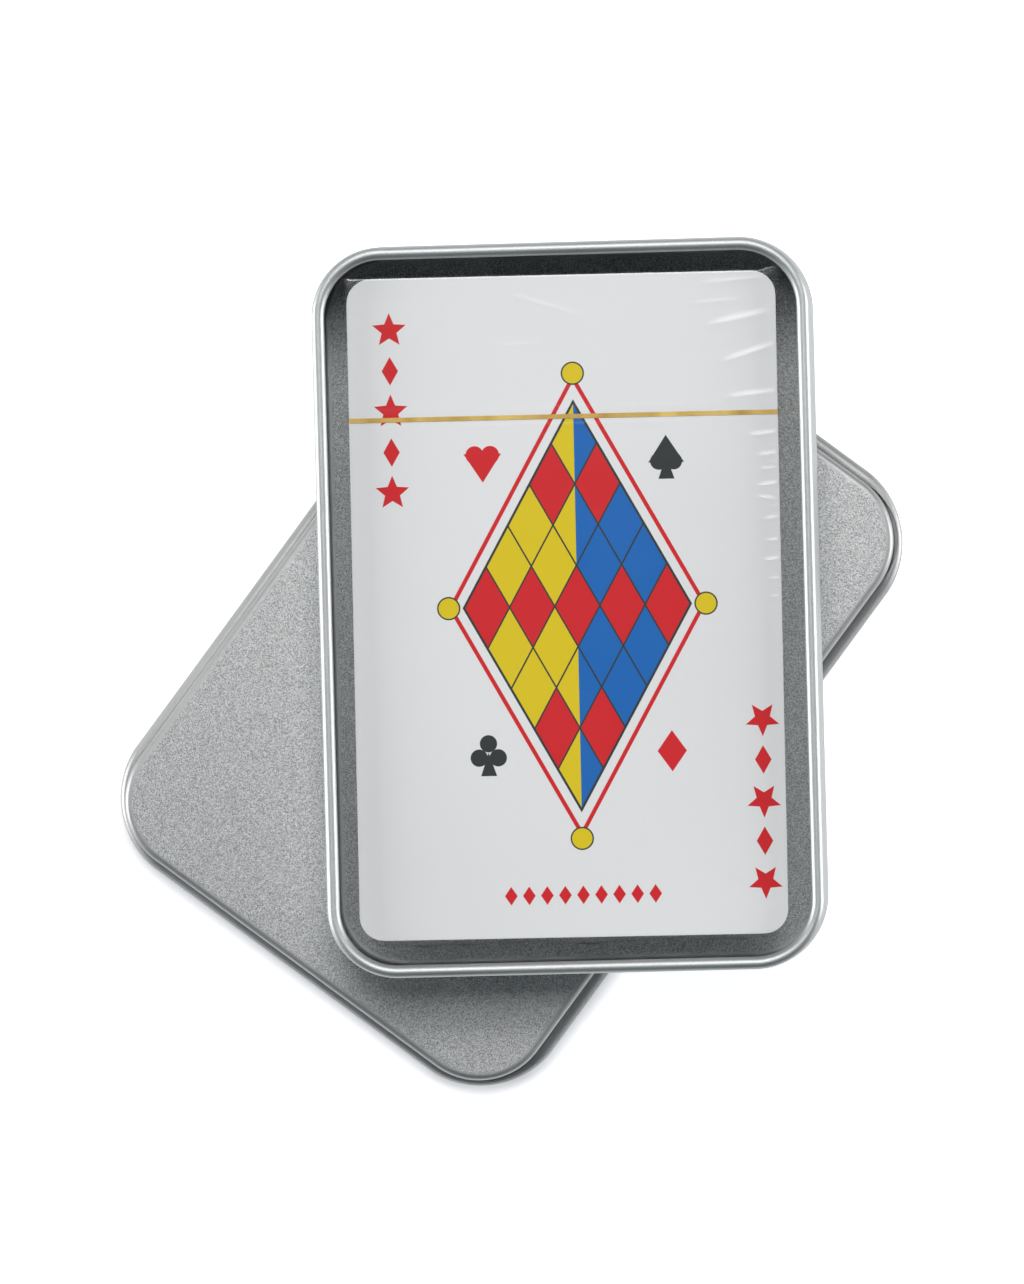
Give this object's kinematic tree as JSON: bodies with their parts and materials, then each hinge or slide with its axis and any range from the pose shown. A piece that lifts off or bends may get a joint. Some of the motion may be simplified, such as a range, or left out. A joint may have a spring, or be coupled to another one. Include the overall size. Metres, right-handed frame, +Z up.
{
  "type": "playing card tin",
  "caption": "Rectangular slip-lid metal tin standing open on its own lid, with a film-wrapped deck of playing cards inside; the base and the deck lift straight up.",
  "frame": {"origin": "middle of the whole object's bounding box in plan, on the table that the lid's hem stands on", "axes": "+Z up; +Y along the long side of the base and the deck, towards the deck's top edge; +X to the right seen from above; the lid is turned 37.7 degrees clockwise about +Z"},
  "size_m": [0.108, 0.1144, 0.0305],
  "materials": {
    "tinplate": "satin silver lacquer with a fine sand-like grain",
    "card": "smooth coated playing card stock, semi-matt",
    "film": "clear glossy film with fine creases",
    "tape": "metallic gold tear tape"
  },
  "bodies": {
    "lid": {"lid": "tinplate"},
    "base": {"base_tin": "tinplate"},
    "deck": {"film_wrap": "film", "tear_tape": "tape", "card_01": "card", "card_02": "card", "card_03": "card", "card_04": "card", "card_05": "card", "card_06": "card", "card_07": "card", "card_08": "card", "card_09": "card", "card_10": "card", "card_11": "card", "card_12": "card", "card_13": "card", "card_14": "card", "card_15": "card", "card_16": "card", "card_17": "card", "card_18": "card", "card_19": "card", "card_20": "card", "card_21": "card", "card_22": "card", "card_23": "card", "card_24": "card", "card_25": "card", "card_26": "card", "card_27": "card", "card_28": "card", "card_29": "card", "card_30": "card", "card_31": "card", "card_32": "card", "card_33": "card", "card_34": "card", "card_35": "card", "card_36": "card", "card_37": "card", "card_38": "card", "card_39": "card", "card_40": "card", "card_41": "card", "card_42": "card", "card_43": "card", "card_44": "card", "card_45": "card", "card_46": "card", "card_47": "card", "card_48": "card", "card_49": "card", "card_50": "card", "card_51": "card", "card_52": "card", "card_53": "card", "card_54": "card"}
  },
  "joints": [
    {"name": "base_lift", "type": "slide", "parent": "lid", "child": "base", "axis": [0, 0, 1], "range_m": [0, 0.03]},
    {"name": "deck_lift", "type": "slide", "parent": "base", "child": "deck", "axis": [0, 0, 1], "range_m": [0, 0.03]}
  ]
}
